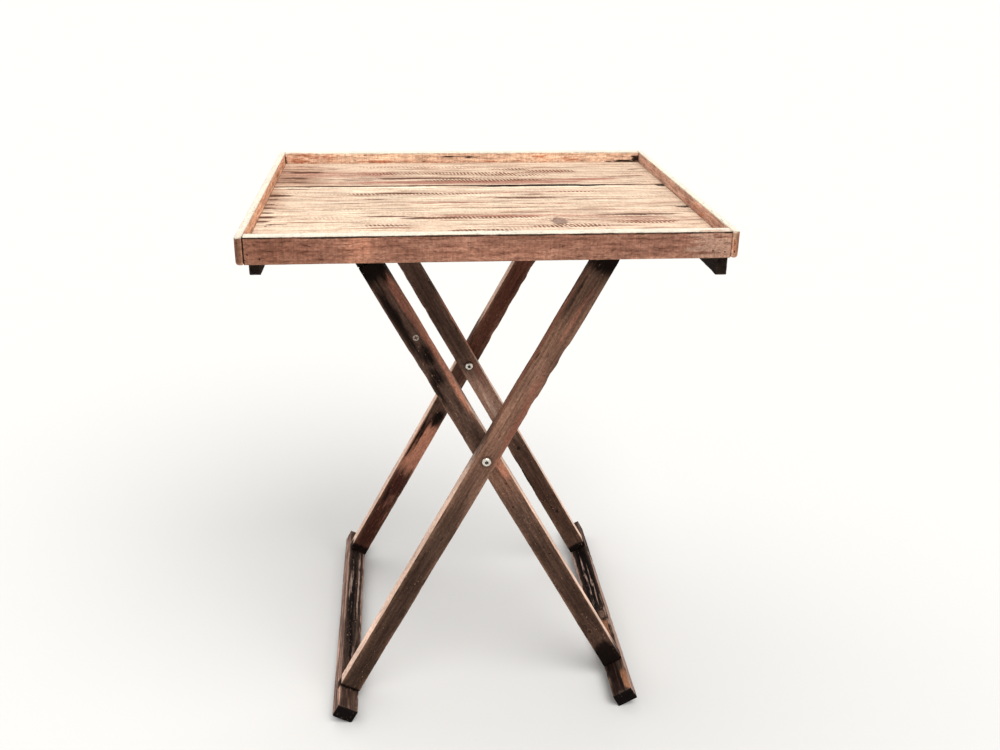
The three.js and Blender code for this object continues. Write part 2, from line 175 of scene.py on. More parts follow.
# What each kind of wood looks like, in sRGB colours. The tones go along its grain from the darkest
# streaks, each at its height of the streaks' noise, and the flame's darkest streaks lie over them,
# with their share and the height of their noise that they start at. The amounts say how much each
# texture darkens and lightens; "ragged" says how far the edge of a stain, and of painted light,
# follows the grain, and how soft it is; "worn" is the bare wood of the arrises and its share. The
# stains' colours also serve for painted light: the rims' painted top highlight, "dark" also painted
# shade, and "pale" and "tan" also painted highlights.
LOOKS = {
    "plank": dict(
        tones=[
            (0.3, (98, 66, 52)), (0.37, (150, 114, 94)), (0.43, (180, 155, 135)),
            (0.58, (195, 173, 152)),
        ],
        streak=(170, 5.5),
        ragged=(0.8, 0.2),
        amounts=dict(fibre=0.55, speck=0.5, blotch=0.36, hatch=0.2),
        stains_and_painted_light=dict(red=(146, 103, 88), pale=(200, 186, 164), dark=(76, 48, 37), gap=(18, 11, 9)),
        knot=((80, 62, 55), (122, 98, 88)),
        worn=((186, 164, 138), 0.4),
        saw=(1.0, (108, 72, 55)),
        flame=(0.85, (122, 86, 70), 0.555),
        fleck=0.45,
        nicks=0.0,
        end=((84, 58, 44), (134, 100, 78)),
    ),
    "rim": dict(
        tones=[
            (0.34, (112, 74, 60)), (0.44, (135, 94, 77)), (0.54, (147, 104, 86)),
            (0.7, (162, 120, 101)),
        ],
        streak=(34, 4.6),
        ragged=(0.9, 0.2),
        amounts=dict(fibre=0.16, speck=0.9, blotch=0.4, hatch=0.36),
        stains_and_painted_light=dict(
            painted_top_highlight=(193, 188, 174), red=(172, 112, 84), pale=(160, 125, 107), dark=(40, 24, 18),
        ),
        knot=((60, 38, 30), (120, 78, 60)),
        worn=((176, 134, 108), 0.4),
        flame=(0.35, (104, 66, 52), 0.58),
        fleck=0.6,
        nicks=0.3,
        end=((96, 66, 52), (150, 112, 90)),
    ),
    "leg": dict(
        tones=[
            (0.34, (70, 51, 42)), (0.44, (82, 61, 51)), (0.54, (90, 68, 57)), (0.7, (103, 79, 67)),
        ],
        streak=(110, 4.2),
        ragged=(0.45, 0.3),
        amounts=dict(fibre=0.27, speck=0.8, blotch=0.7, hatch=0.16),
        stains_and_painted_light=dict(red=(124, 80, 66), tan=(158, 106, 85), pale=(208, 178, 160), dark=(15, 9, 7)),
        knot=((36, 25, 21), (86, 62, 50)),
        worn=((166, 126, 102), 0.55),
        flame=(0.3, (50, 35, 29), 0.58),
        fleck=0.5,
        nicks=0.7,
        end=((18, 12, 10), (44, 31, 25)),
    ),
    "rail": dict(
        tones=[
            (0.36, (22, 15, 13)), (0.46, (40, 29, 25)), (0.56, (60, 46, 39)), (0.7, (104, 84, 73)),
        ],
        streak=(120, 4.0),
        ragged=(1.0, 0.2),
        amounts=dict(fibre=0.6, speck=0.6, blotch=0.6, hatch=0.15),
        stains_and_painted_light=dict(red=(128, 88, 64), dark=(14, 9, 8), pale=(140, 116, 105)),
        knot=((20, 13, 11), (124, 96, 80)),
        worn=((150, 122, 106), 0.6),
        flame=(0.5, (16, 11, 9), 0.58),
        fleck=0.6,
        nicks=0.7,
        end=((14, 10, 8), (38, 27, 22)),
    ),
    "batten": dict(
        tones=[
            (0.36, (22, 16, 14)), (0.46, (34, 26, 22)), (0.56, (44, 34, 29)), (0.7, (66, 52, 44)),
        ],
        streak=(110, 5.0),
        ragged=(1.0, 0.2),
        amounts=dict(fibre=0.5, speck=0.5, blotch=0.5, hatch=0.3),
        stains_and_painted_light=dict(dark=(12, 9, 8)),
        knot=((16, 12, 10), (44, 34, 28)),
        worn=((92, 74, 62), 0.35),
        flame=(0.4, (16, 11, 10), 0.58),
        fleck=0.4,
        nicks=0.2,
        end=((14, 10, 8), (36, 27, 22)),
    ),
}

# The noises that the wood's textures come from: their features' size in mm along, across and
# through the board, then their detail and roughness. The grain's follow its sway and its knots.
GRAIN_NOISES = dict(
    fibre=((36, 1.6, 1.6), 3.0, 0.6), flame=((120, 3.8, 3.8), 3.0, 0.55),
    fleck=((11, 1.8, 1.8), 1.0),
)
SPREAD_NOISES = dict(
    smudge=((24, 5, 5), 4.0, 0.6), speck=((4.2, 2.4, 2.4), 3.0, 0.65), blotch=((75, 20, 20), 3.0),
    hatch=((1.7, 26, 26), 2.0, 0.6), sway=((110, 26, 26),), saw_drift=((60, 12, 12),),
    saw_patch=((22, 4, 4),), saw_field=((130, 9, 9),), nick=((4.5, 2.2, 2.2),),
    nick_field=((55, 16, 16),),
)
STREAK_NOISE = (6.0, 0.62)  # detail and roughness; each look says how large its streaks are
# Between which two heights of its noise each of these shows.
SHOWN = dict(
    fleck=(0.66, 0.76), saw_patch=(0.32, 0.5), saw_field=(0.58, 0.66), nick=(0.66, 0.72),
    nick_field=(0.48, 0.6),
)
# How high each texture stands, in mm.
RELIEF = dict(
    streak=0.8, fibre=0.25, speck=0.2, hatch=0.12, saw=-0.4, fleck=-0.25, nick=-0.3, hole=-1.2,
    rings=0.2,
)
APART = (137.0, 61.0, 29.0)  # mm between two boards in the noises, for each step of their seeds
SWAY = 5.0  # mm that the grain wanders sideways
FLAME_SOFT = 0.07  # how soft the edges of the darkest streaks are, in heights of their noise
STAIN_AND_LIGHT_STRENGTH = 0.985
STREAK_PULL, SMUDGE_PULL = 2.4, 1.6  # how far the textures move a stain's edge
TOP_HIGHLIGHT_TEXTURE = 0.4  # how much of the wood's texture shows through the painted highlight on the rims' tops
WOOD_SHEEN = 0.04  # raw wood hardly reflects
SAW_PITCH = 5.7  # mm between two marks of the saw
SAW_SLANT = 0.22  # how far the marks lean along the board, for each mm across it
SAW_DRIFT = 4.0  # mm that the marks stray from their rows
SAW_ELSEWHERE = 0.35  # strength of the marks that no drawing asks for
HOLE_COLOUR = (30, 20, 16)
HOLE_SHARE = 0.85
KNOT_SHARE = 0.8
KNOT_REACH = 2.6  # how far a knot bends the grain, for each mm of its own reach
KNOT_BEND = (0, 0.8, 0.8)
KNOT_RINGS = 14.0  # radians of rings for each of a knot's reaches
GROWTH_RINGS = 2.6  # radians of growth rings for each mm of end grain
PITH = (31.0, 17.0)  # mm from a board's middle to its tree's, across and through
CHIP_SHARE = 0.3  # how bare the wood is where an arris is chipped
DARKENING = ("dark", "gap")  # dark stains, painted shade and gaps, that no bare wood shows through


def knots_in(s, at, knots, face):
    """Where the grain is once it bends round each knot, and the knots' own rings and share."""
    bent, drawn_rings, share = at, 0.0, 0.0
    for x, y, along, across in knots:
        offset = s.vector("SUBTRACT", at, (x, y, face))
        scaled = s.vector("DIVIDE", offset, (along, across, across))
        wobble = s.spread(s.noise(at, (5, 4, 4)), -0.5, 0.5)
        radius = s.plus(s.distance(scaled), wobble)
        near = s.minus(1.0, s.rise(radius, 0.0, KNOT_REACH))
        pulled = s.add("ShaderNodeVectorMath", {0: offset, "Scale": near}, operation="SCALE")
        pulled = s.vector("MULTIPLY", pulled.outputs[0], KNOT_BEND)
        bent = s.vector("SUBTRACT", bent, pulled)
        inside = s.minus(1.0, s.rise(radius, 0.7, 1.2))
        ring = s.spread(s.math("SINE", s.times(radius, KNOT_RINGS)), 0.5, 1.0)
        drawn_rings = s.most(drawn_rings, s.times(inside, ring))
        share = s.most(share, inside)
    return bent, drawn_rings, share


def holes_in(s, at, holes, face):
    """1 inside each old nail hole and 0 outside."""
    share = 0.0
    for x, y, radius in holes:
        wobble = s.spread(s.noise(at, (1.5, 1.5, 1.5)), -0.6, 0.6)
        away = s.plus(s.distance(at, (x, y, face)), wobble)
        share = s.most(share, s.minus(1.0, s.rise(away, radius - 0.5, radius + 0.3)))
    return share


def add_stains_and_painted_light(s, colour, look, stains_and_painted_light, streak, smudge, shade):
    """Stains, painted highlights and painted shade where the drawing put them. They follow the grain and have
    ragged edges.
    """
    along_grain = s.times(s.minus(streak, 0.5), STREAK_PULL)
    across_grain = s.times(s.minus(smudge, 0.5), SMUDGE_PULL)
    strength, soft = look["ragged"]
    ragged = s.times(s.plus(along_grain, across_grain), strength)
    for kind_of_mark, mark_colour in look["stains_and_painted_light"].items():
        if kind_of_mark in stains_and_painted_light:
            drawn = s.attribute(kind_of_mark)
            amount = s.plus(drawn, s.times(ragged, s.rise(drawn, 0.0, 0.3)))
            share = s.times(s.rise(amount, 0.5 - soft, 0.5 + soft), STAIN_AND_LIGHT_STRENGTH)
            # The rims' painted top highlight keeps only some of the wood's texture.
            texture = TOP_HIGHLIGHT_TEXTURE if kind_of_mark == "painted_top_highlight" else 1.0
            colour = s.mix(share, colour, s.mix(texture, mark_colour, shade, "MULTIPLY"))
    return colour


def saw_marks(s, run, noises, shown):
    """How deep the saw's slanted marks are: in rows where they were drawn, and here and there."""
    along, across, _ = s.add("ShaderNodeSeparateXYZ", {0: run}).outputs
    phase = s.plus(along, s.times(across, SAW_SLANT))
    phase = s.plus(phase, s.spread(noises["saw_drift"], -SAW_DRIFT, SAW_DRIFT))
    wave = s.math("SINE", s.times(phase, 2 * math.pi / SAW_PITCH))
    elsewhere = s.times(shown["saw_field"], SAW_ELSEWHERE)
    rows = s.most(s.rise(s.attribute("saw"), 0.25, 0.6), elsewhere)
    return s.times(rows, shown["saw_patch"], s.rise(wave, -0.65, 0.25))


def wood_material(name, board, stains_and_painted_light):
    """Sawn wood. It reads each vertex's run coordinates and what the board's drawing left on it."""
    s = Shader(name)
    look, seed, face = LOOKS[board["look"]], board["seed"], board["face"]
    run = s.attribute("run", "Vector")
    apart = tuple(seed * step for step in APART)
    at = s.vector("ADD", run, apart)
    noises = {key: s.noise(at, *values) for key, values in SPREAD_NOISES.items()}
    bent, knot_rings, knot_share = knots_in(s, run, board["knots"], face)
    sway = s.spread(noises["sway"], -SWAY, SWAY)
    sideways = s.add("ShaderNodeCombineXYZ", {1: sway, 2: sway}).outputs[0]
    bent = s.vector("ADD", s.vector("ADD", bent, apart), sideways)
    noises.update({key: s.noise(bent, *values) for key, values in GRAIN_NOISES.items()})
    long, wide = look["streak"]
    streak = s.noise(bent, (long, wide, wide), *STREAK_NOISE)
    smudge = noises["smudge"]
    shown = {key: s.rise(noises[key], *heights) for key, heights in SHOWN.items()}

    light = 1.0
    for key, amount in look["amounts"].items():
        light = s.times(light, s.spread(noises[key], 1 - amount, 1 + amount))
    shade = s.add("ShaderNodeCombineXYZ", {0: light, 1: light, 2: light}).outputs[0]

    colour = s.tint(s.ramp(streak, look["tones"]), shade)
    flame_share, flame_colour, flame_from = look["flame"]
    flame = s.rise(noises["flame"], flame_from, flame_from + FLAME_SOFT)
    colour = s.mix(s.times(flame, flame_share), colour, s.tint(flame_colour, shade))

    # End grain: the growth rings, in the two directions across the board.
    pith = s.vector("ADD", run, (0, PITH[0] + seed, PITH[1]))
    growth = s.times(s.distance(s.vector("MULTIPLY", pith, (0, 1, 1))), GROWTH_RINGS)
    ringed = s.times(s.spread(s.math("SINE", growth), 0.5, 1.0), smudge)
    colour = s.mix(s.rise(s.attribute("end"), 0.45, 0.9), colour, s.mix(ringed, *look["end"]))

    # The board's own tone along it, and painted light over some whole faces.
    colour = s.tint(colour, s.attribute("gain", "Vector"))
    # Stains, and the painted highlights and painted shade drawn like them.
    colour = add_stains_and_painted_light(s, colour, look, stains_and_painted_light, streak, smudge, shade)

    saw_strength, saw_colour = look.get("saw", (0.0, HOLE_COLOUR))
    saw = s.times(saw_marks(s, run, noises, shown), saw_strength)
    colour = s.mix(saw, colour, s.tint(saw_colour, shade))

    fleck_colour = s.tint(look["stains_and_painted_light"]["dark"], shade)
    colour = s.mix(s.times(shown["fleck"], look["fleck"]), colour, fleck_colour)
    nick = s.times(shown["nick"], shown["nick_field"])
    bare_colour, bare_share = look["worn"]
    colour = s.mix(s.times(nick, look["nicks"]), colour, bare_colour)

    worn = s.times(s.attribute("edge"), s.rise(smudge, 0.34, 0.6), bare_share)
    worn = s.most(worn, s.times(s.attribute("chip"), CHIP_SHARE))
    for kind_of_mark in DARKENING:
        if kind_of_mark in stains_and_painted_light:
            worn = s.times(worn, s.spread(s.attribute(kind_of_mark), 1.0, 0.0))
    colour = s.mix(worn, colour, s.tint(bare_colour, shade))

    knot_colour = s.tint(s.mix(knot_rings, *look["knot"]), shade)
    colour = s.mix(s.times(knot_share, KNOT_SHARE), colour, knot_colour)
    hole = holes_in(s, run, board["holes"], face)
    colour = s.mix(s.times(hole, HOLE_SHARE), colour, HOLE_COLOUR)

    reliefs = {**noises, **shown, "nick": nick}
    reliefs.update(streak=streak, saw=saw, hole=hole, rings=knot_rings)
    height = 0.0
    for key, high in RELIEF.items():
        height = s.plus(height, s.times(reliefs[key], high))
    roughness = s.spread(s.plus(s.times(streak, 0.6), s.times(smudge, 0.4)), 0.6, 1.0)
    looks = {"Base Color": colour, "Roughness": roughness, "Specular IOR Level": WOOD_SHEEN}
    return s.finish(looks, height)


def metal_material(name, bright, dull, spoil, roughness):
    """Plated steel: fine scratches, duller patches, and dirt or rust in its hollows."""
    s = Shader(name)
    at = s.attribute("run", "Vector")
    patch = s.noise(at, (2.2, 2.2, 2.2), 4.0, 0.6)
    scratch = s.noise(at, (0.25, 3.0, 3.0))
    colour = s.mix(s.rise(patch, 0.42, 0.66), bright, dull)
    dirt = s.math("MULTIPLY", s.attribute("hollow"), s.spread(patch, 0.75, 1.1), clamp=True)
    colour = s.mix(dirt, colour, spoil)
    rough = s.plus(s.spread(patch, roughness, roughness + 0.2), s.times(dirt, 0.4))
    height = s.plus(s.times(scratch, 0.01), s.times(patch, 0.03))
    metallic = s.minus(1.0, s.times(dirt, 0.8))
    return s.finish({"Base Color": colour, "Roughness": rough, "Metallic": metallic}, height)


# ---- Boards -------------------------------------------------------------------------------------

CORNER_STEPS = 3  # points round a board's rounded arris
NEAR_ARRIS = (0, 1.1, 2.8, 5.4)  # mm from the arris, where the drawing is finest
CAP_RINGS = (0.84, 0.66, 0.46, 0.26, 0.1)  # shares of the section, towards an end's middle
CORNERS = np.array([(-1, -1), (1, -1), (1, 1), (-1, 1)])  # of a section, by its arrises' numbers
WAVE_SIZE = (70, 45, 45)  # mm along, across and through, like the other sizes of the surface
ROUGH_SIZES = ((9, 4, 4), (60, 3.2, 3.2))  # pits, and ridges along the fibres
CHIPS = ((11, 0.28, 2.2), (34, 0.1, 0.8))  # size, lowest height of the noise, depth
JAG_SIZE = 6  # of a bite's ragged line
END_SIZE = (50, 6, 1.6)  # of the roughness of end grain
END_DIP = 0.25
END_EDGE = 0.3  # how much of an arris's wear goes on into the end
END_RING = 0.75  # how far the outermost ring is end grain
NOISE_STEP = 11.3  # between two seeds in the surface's noises
CUT_WIDTH = (1.5, 1.9)  # of a chip: at least, and for each mm of its depth
EDGE_WIDTH, END_WIDTH = 2.6, 2.2  # mm over which the wear of an arris and of an end fades


def spaced(length, step):
    """Distances along a length: close together near its ends, and at most `step` apart between."""
    near = [d for d in NEAR_ARRIS if d < length / 2]
    inner = length - 2 * near[-1]
    count = max(1, math.ceil(inner / step))
    middle = [near[-1] + inner * i / count for i in range(1, count)]
    return np.array([*near, *middle, *[length - d for d in reversed(near)]])


def section(width, thick, radii, step):
    """Points round a board's section, and which way out is at each. Every arris has its radius."""
    corners = CORNERS * np.array([width, thick]) / 2
    points, normals = [], []
    for k, start in enumerate(corners):
        end, radius = corners[(k + 1) % 4], radii[(k + 1) % 4]
        length = np.linalg.norm(end - start)
        along = (end - start) / length
        out = np.array([along[1], -along[0]])
        for t in spaced(length - radii[k] - radius, step):
            points.append(start + along * (radii[k] + t))
            normals.append(out)
        centre = end - (along + out) * radius
        for i in range(1, CORNER_STEPS + 1):
            angle = math.pi / 2 * i / (CORNER_STEPS + 1)
            direction = out * math.cos(angle) + along * math.sin(angle)
            points.append(centre + direction * radius)
            normals.append(direction)
    return np.array(points), np.array(normals)


def stations(low, high, radius, step, round_top):
    """Where the board's rings lie along it, how far each is drawn in, and how wide it is."""
    turn = [math.pi / 2 * i / CORNER_STEPS for i in range(1, CORNER_STEPS + 1)]
    arris = [(radius * (1 - math.sin(a)), radius * (1 - math.cos(a))) for a in turn]
    rows = [(low + back, inset, 1) for back, inset in reversed(arris)]
    end = high - round_top if round_top else high - radius
    rows += [(low + radius + t, 0, 1) for t in spaced(end - low - radius, step)]
    if round_top:
        angles = [math.radians(a) for a in range(6, 85, 6)]
        rows += [(end + round_top * math.sin(a), 0, math.cos(a)) for a in angles]
    else:
        rows += [(high - back, inset, 1) for back, inset in arris]
    return np.array(rows)


def field(points, size, seed):
    """Smooth noise from -1 to 1 at each point, with features of about `size` mm."""
    moved = points / np.array(size) + seed * NOISE_STEP
    return np.array([noise.noise(Vector(p)) for p in moved])


def points_of(node):
    """A CAD node's own points, in metres."""
    mesh = frame["nodes"][node].data
    flat = np.empty(len(mesh.vertices) * 3)
    mesh.vertices.foreach_get("co", flat)
    return flat.reshape(-1, 3)


def extents(node, matrix):
    """Lowest and highest corner of a CAD node in run coordinates, in mm."""
    inverse = np.array(matrix.inverted())
    local = (points_of(node) @ inverse[:3, :3].T + inverse[:3, 3]) / MM
    return local.min(0), local.max(0)


def board_surface(low, high, board):
    """The board's rings of points, drawn in from the CAD's box by its roughness and its chips."""
    radius, seed = board["arris"], board["seed"]
    size = high - low
    radii = [board["worn_arrises"].get(k, radius) for k in range(4)]
    outline, normals = section(size[1], size[2], radii, board["step"][1])
    rows = stations(low[0], high[0], radius, board["step"][0], board["round_top"])
    middle = (low[1:] + high[1:]) / 2
    count = len(outline)

    x = np.repeat(rows[:, 0], count)
    inset = np.repeat(rows[:, 1], count)
    narrow = np.repeat(rows[:, 2], count)
    base = np.tile(outline, (len(rows), 1))
    out = np.tile(normals, (len(rows), 1))
    flat = base - out * inset[:, None]
    flat[:, 0] *= narrow
    places = np.column_stack([x, flat + middle])

    corners = CORNERS * size[1:] / 2
    away = np.linalg.norm(base[:, None, :] - corners[None, :, :], axis=2)

    wavy, rough, chips = board["wavy"], board["rough"], board["chips"]
    depth = wavy * (0.5 + 0.5 * field(places, WAVE_SIZE, seed))
    for i, rough_size in enumerate(ROUGH_SIZES, 1):
        depth += rough * (0.5 + 0.5 * field(places, rough_size, seed + i))
    section_out = np.column_stack([np.zeros(len(x)), out])
    moved = places - section_out * depth[:, None]

    chipped = np.zeros(len(x))
    for k, diagonal in enumerate(CORNERS / math.sqrt(2)):
        line = np.column_stack([rows[:, 0], np.full(len(rows), 40.0 * k), np.zeros(len(rows))])
        bite = np.zeros(len(rows))
        for i, (chip_size, least, deep) in enumerate(CHIPS, 3):
            bite += np.maximum(0, field(line, chip_size, seed + i) - least) * chips * deep
        for at, arris, half_length, deep in board["bites"]:
            if arris == k:
                reach = np.clip(1 - np.abs(rows[:, 0] - at) / half_length, 0, 1)
                jag = 0.65 + 0.35 * field(line, JAG_SIZE, seed + 5)
                bite = np.maximum(bite, deep * np.sqrt(reach) * jag)
        bite = np.repeat(bite, count)
        weight = np.clip(1.15 - away[:, k] / (CUT_WIDTH[0] + CUT_WIDTH[1] * bite), 0, 1)
        moved[:, 1:] -= diagonal * (bite * weight * narrow)[:, None]
        chipped = np.maximum(chipped, np.clip(bite * weight / 1.2, 0, 1))

    near_end = np.minimum(x - low[0], high[0] - x)
    edge = np.maximum(np.exp(-away.min(1) / EDGE_WIDTH), np.exp(-near_end / END_WIDTH))
    return {
        "rings": moved.reshape(len(rows), count, 3),
        "run": places.reshape(len(rows), count, 3),
        "edge": edge.reshape(len(rows), count),
        "chip": chipped.reshape(len(rows), count),
        "end": np.zeros((len(rows), count)),
    }


def close_ends(surface, seed):
    """Adds the rings that close the board's two ends, rough as a saw leaves end grain."""
    for last, sign in ((0, -1), (-1, 1)):
        ring = surface["rings"][last]
        middle = ring.mean(0)
        shares = np.array(CAP_RINGS)[:, None, None]
        cap = middle + (ring - middle) * shares
        dip = field(cap.reshape(-1, 3), END_SIZE, seed + 6).reshape(cap.shape[:2])
        cap[:, :, 0] -= sign * END_DIP * (1 + dip) * (1 - shares[:, :, 0] ** 4)
        count = len(CAP_RINGS)
        extra = {
            "rings": cap,
            "run": cap,
            "edge": np.tile(surface["edge"][last] * END_EDGE, (count, 1)),
            "chip": np.zeros(cap.shape[:2]),
            "end": np.ones(cap.shape[:2]),
        }
        surface["end"][last] = END_RING
        for key, values in extra.items():
            parts = [values[::-1], surface[key]] if sign < 0 else [surface[key], values]
            surface[key] = np.concatenate(parts)
    return surface


def within(points, centre, reach):
    """1 near a centre, falling to 0 beyond its reach along each axis."""
    away = np.abs((points - np.array(centre)) / np.array(reach))
    return np.exp(-(away**3).sum(1))


def drawn_stains_and_light(board):
    """Every stain, painted highlight and painted shade of a board: its kind, its centre, its reach along each axis
    and its strength.
    """
    face, rows = board["face"], list(board["elsewhere"])
    for kind in KINDS:
        for x, y, along, across, strength, *through in board.get(kind, ()):
            reach = (along, across, *(through or (STAIN_AND_LIGHT_DEPTH,)))
            rows.append((kind, (x, y, face), reach, strength))
    # Painted highlights on each leg's narrow face that the light falls on.
    for kind, x, along, strength in board["narrow"]:
        centre = (x, NARROW_FACES[board["space"]], face + LATH_MIDDLE)
        rows.append((kind, centre, (along, *NARROW_REACH), strength))
    return rows


def stain_and_light_shares(points, board):
    """How strongly each kind of stain, painted highlight and painted shade lies on each point."""
    shares = {}
    for kind, centre, reach, strength in drawn_stains_and_light(board):
        share = strength * within(points, centre, reach)
        shares[kind] = np.maximum(shares.get(kind, 0), share)
    return shares


def gains(points, board):
    """How much lighter or darker, in red, green and blue, each point is than the board's look: its own tone, and
    painted light on some faces.
    """
    gain = np.ones((len(points), 3))
    for x, y, along, across, through, *colour in board["zones"]:
        share = within(points, (x, y, board["face"]), (along, across, through))[:, None]
        gain *= 1 - share + share * np.array(colour)
    return gain


def ring_faces(rings, count, closed=False):
    """Quads between successive rings. Unless the last meets the first, a fan closes each end."""
    faces = []
    for i in range(rings if closed else rings - 1):
        here, there = i * count, (i + 1) % rings * count
        for j in range(count):
            k = (j + 1) % count
            faces.append((here + j, here + k, there + k, there + j))
    if not closed:
        first, last = rings * count, rings * count + 1
        for j in range(count):
            k = (j + 1) % count
            faces.append((first, k, j))
            faces.append((last, (rings - 1) * count + j, (rings - 1) * count + k))
    return faces


def mesh_object(name, points, faces, marks, matrix, material):
    """A smooth piece, drawn in mm, whose vertices carry the marks that its material reads."""
    turn = np.array(matrix)
    placed = points * MM @ turn[:3, :3].T + turn[:3, 3]
    mesh = bpy.data.meshes.new(name)
    mesh.from_pydata(placed.tolist(), [], faces)
    for key, values in marks.items():
        flat = np.ascontiguousarray(values, np.float32)
        if flat.ndim == 2:
            attribute = mesh.attributes.new(key, "FLOAT_VECTOR", "POINT")
            attribute.data.foreach_set("vector", flat.ravel())
        else:
            attribute = mesh.attributes.new(key, "FLOAT", "POINT")
            attribute.data.foreach_set("value", flat)
    mesh.polygons.foreach_set("use_smooth", [True] * len(mesh.polygons))
    mesh.materials.append(material)
    piece = bpy.data.objects.new(name, mesh)
    bpy.context.scene.collection.objects.link(piece)
    return piece


def keep_off_floor(points, matrix):
    """Flattens a worn foot: nothing of the board is lower than the floor."""
    turn = np.array(matrix)[:3, :3]
    heights = points @ turn[2] + matrix.translation.z / MM
    sunk = np.minimum(heights, 0)
    return points - sunk[:, None] * turn[2]


def make_board(node, kind, **drawn):
    """Draws a board in place of its CAD node: one of its kind, with what is drawn on it."""
    board = {**kind, **drawn}
    x, y = AXES[board["along"]], AXES[board["across"]]
    axes = Matrix((x, y, x.cross(y))).transposed().to_4x4()
    matrix = SPACES[board["space"]] @ axes
    low, high = extents(node, matrix)
    surface = close_ends(board_surface(low, high, board), board["seed"])
    rings, count = surface["rings"].shape[:2]

    def whole(key):
        values = surface[key].reshape(rings * count, -1)
        poles = [surface[key][0].mean(0), surface[key][-1].mean(0)]
        return np.concatenate([values, np.array(poles).reshape(2, -1)])

    points = keep_off_floor(whole("rings"), matrix)
    run = whole("run")
    stains_and_painted_light = stain_and_light_shares(run, board)
    marks = {key: whole(key)[:, 0] for key in ("edge", "chip", "end")}
    marks.update(stains_and_painted_light, run=run, gain=gains(run, board))
    name = node + "_board"
    material = wood_material(name, board, set(stains_and_painted_light))
    piece = mesh_object(name, points, ring_faces(rings, count), marks, matrix, material)
    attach(piece, BODY_OF[node])
    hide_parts(node)


# ---- What each board is like --------------------------------------------------------------------

# All of it is in run coordinates, in mm. What a board's drawing shows lies at the z of its face:
# - a knot is x, y and its reach along and across the board, and a hole is x, y and its radius;
# - a zone is x, y, its reach along, across and through, and its gain in red, green and blue; most
#   zones are the board's own tone, and those over the rims' inner faces and a rail's side are
#   painted light;
# - a stain, listed by its kind, is x, y, its reach along and across, its strength, and its reach
#   through the board where that isn't STAIN_AND_LIGHT_DEPTH; some "dark" rows are painted shade at
#   the legs' tops and feet, in a rim's corner and on a rail under a foot, and some "pale" rows are
#   painted highlights and glints;
# - a mark on a leg's narrow face is its kind, x, its reach along the leg and its strength: a
#   painted highlight on the narrow face that the light falls on.
# A stain, painted highlight or painted shade elsewhere has its own centre and reach along each axis;
# among them are the rims' painted top highlight and the painted shade over the legs' tops and the
# top rail. A bite is where it is, out of which arris, half its length and its depth. Arrises 0 to 3
# go round the section from low y and z.
PLAIN = dict(
    space="tray", arris=1.3, worn_arrises={}, step=(3.6, 4.5), round_top=0, wavy=0.5,
    rough=0.22, chips=0.7, face=0.0,
    **dict.fromkeys(("zones", "knots", "holes", "narrow", "elsewhere", "bites"), ()),
)

ALL = 2000.0  # reaches over the whole board
TOP, UNDER = 713.3, 694.8  # the planks' upper and lower faces
SEAMS = (-64.0, 73.0)
FRONT, INSIDE = 265.0, -249.0  # the front rim's outer face and the back rim's inner face
LEFT_INSIDE, RIGHT_INSIDE = -291.0, 291.0
INNER_FRONT, INNER_REAR = -171.0, 149.0  # the front face of each inner leg
OUTER_FRONT, OUTER_REAR = -195.0, 173.0
LATH_MIDDLE = 11  # from a leg's front face
LEFT_SIDE, RIGHT_SIDE = -16.6, 16.6  # just outside the legs' narrow faces
NARROW_FACES = {"outer": LEFT_SIDE, "inner": RIGHT_SIDE}  # those that the light falls on
NARROW_REACH = (1.5, 30)
RAIL_TOP = 418.0
STAIN_AND_LIGHT_DEPTH = 9
KINDS = ("red", "pale", "tan", "dark", "gap", "saw")

# A painted highlight along every rim's top, where the light falls from above.
PAINTED_TOP_HIGHLIGHT = ("painted_top_highlight", (0, 730.3, 0), (ALL, 2.6, ALL), 1.6)
DARK_END = ("dark", (-239, 0, 429), (3, 40, 40), 1.3)
SEAMS_BELOW = [("dark", (0, y, UNDER), (ALL, 2.6, 4), 1.1) for y in SEAMS]

PLANK = dict(
    PLAIN, look="plank", along="x", across="y", step=(4.4, 6.5), rough=0.3, face=TOP,
    elsewhere=SEAMS_BELOW,
)
CROSS_RIM = dict(
    PLAIN, look="rim", along="x", across="z", wavy=0.3, rough=0.15, chips=0.25,
    elsewhere=[PAINTED_TOP_HIGHLIGHT],
)
SIDE_RIM = dict(CROSS_RIM, along="y")
BATTEN = dict(PLAIN, look="batten", along="y", across="z", step=(5.0, 5.0), chips=1.2)
LEG = dict(PLAIN, look="leg", along="z", across="x", step=(3.0, 4.2), wavy=1.2)
OUTER_LEG = dict(LEG, space="outer", round_top=16)
INNER_LEG = dict(LEG, space="inner")
RAIL = dict(
    PLAIN, look="rail", along="y", across="x", step=(3.0, 4.0), wavy=1.0, chips=1.2,
    face=RAIL_TOP,
)

make_board(
    "plank_front", PLANK, seed=3,
    knots=[(98, -143, 11, 17)],
    holes=[(-277, -154, 1.7), (212, -118, 1.2)],
    zones=[(-150, -120, 190, 60, 9, 1.08, 1.12, 1.12)],
    dark=[
        (-284, -107, 18, 5, 1.1), (-286, -84, 14, 5, 1.0), (-286, -132, 12, 5, 0.8),
        (-262, -146, 20, 3, 0.6), (-128, -109, 34, 4.5, 0.85), (-66, -120, 46, 6, 0.9),
        (-14, -185, 50, 5, 0.6), (206, -110, 60, 7, 0.8), (184, -94, 80, 3, 0.5),
        (0, SEAMS[0] - 1, ALL, 2.4, 0.6, 4),
    ],
    red=[(20, -112, 110, 10, 0.65), (130, -116, 60, 8, 0.55), (205, -140, 90, 20, 0.5)],
    saw=[
        (0, -120, 95, 9, 0.8), (-126, -156, 40, 6, 0.7), (110, -167, 56, 9, 1.0),
        (212, -151, 52, 10, 0.8), (-6, -186, 48, 6, 1.0),
    ],
    gap=[(284, SEAMS[0] - 3, 10, 7, 2.0, 6)],
    bites=[(284, 2, 12, 2.0)],
)
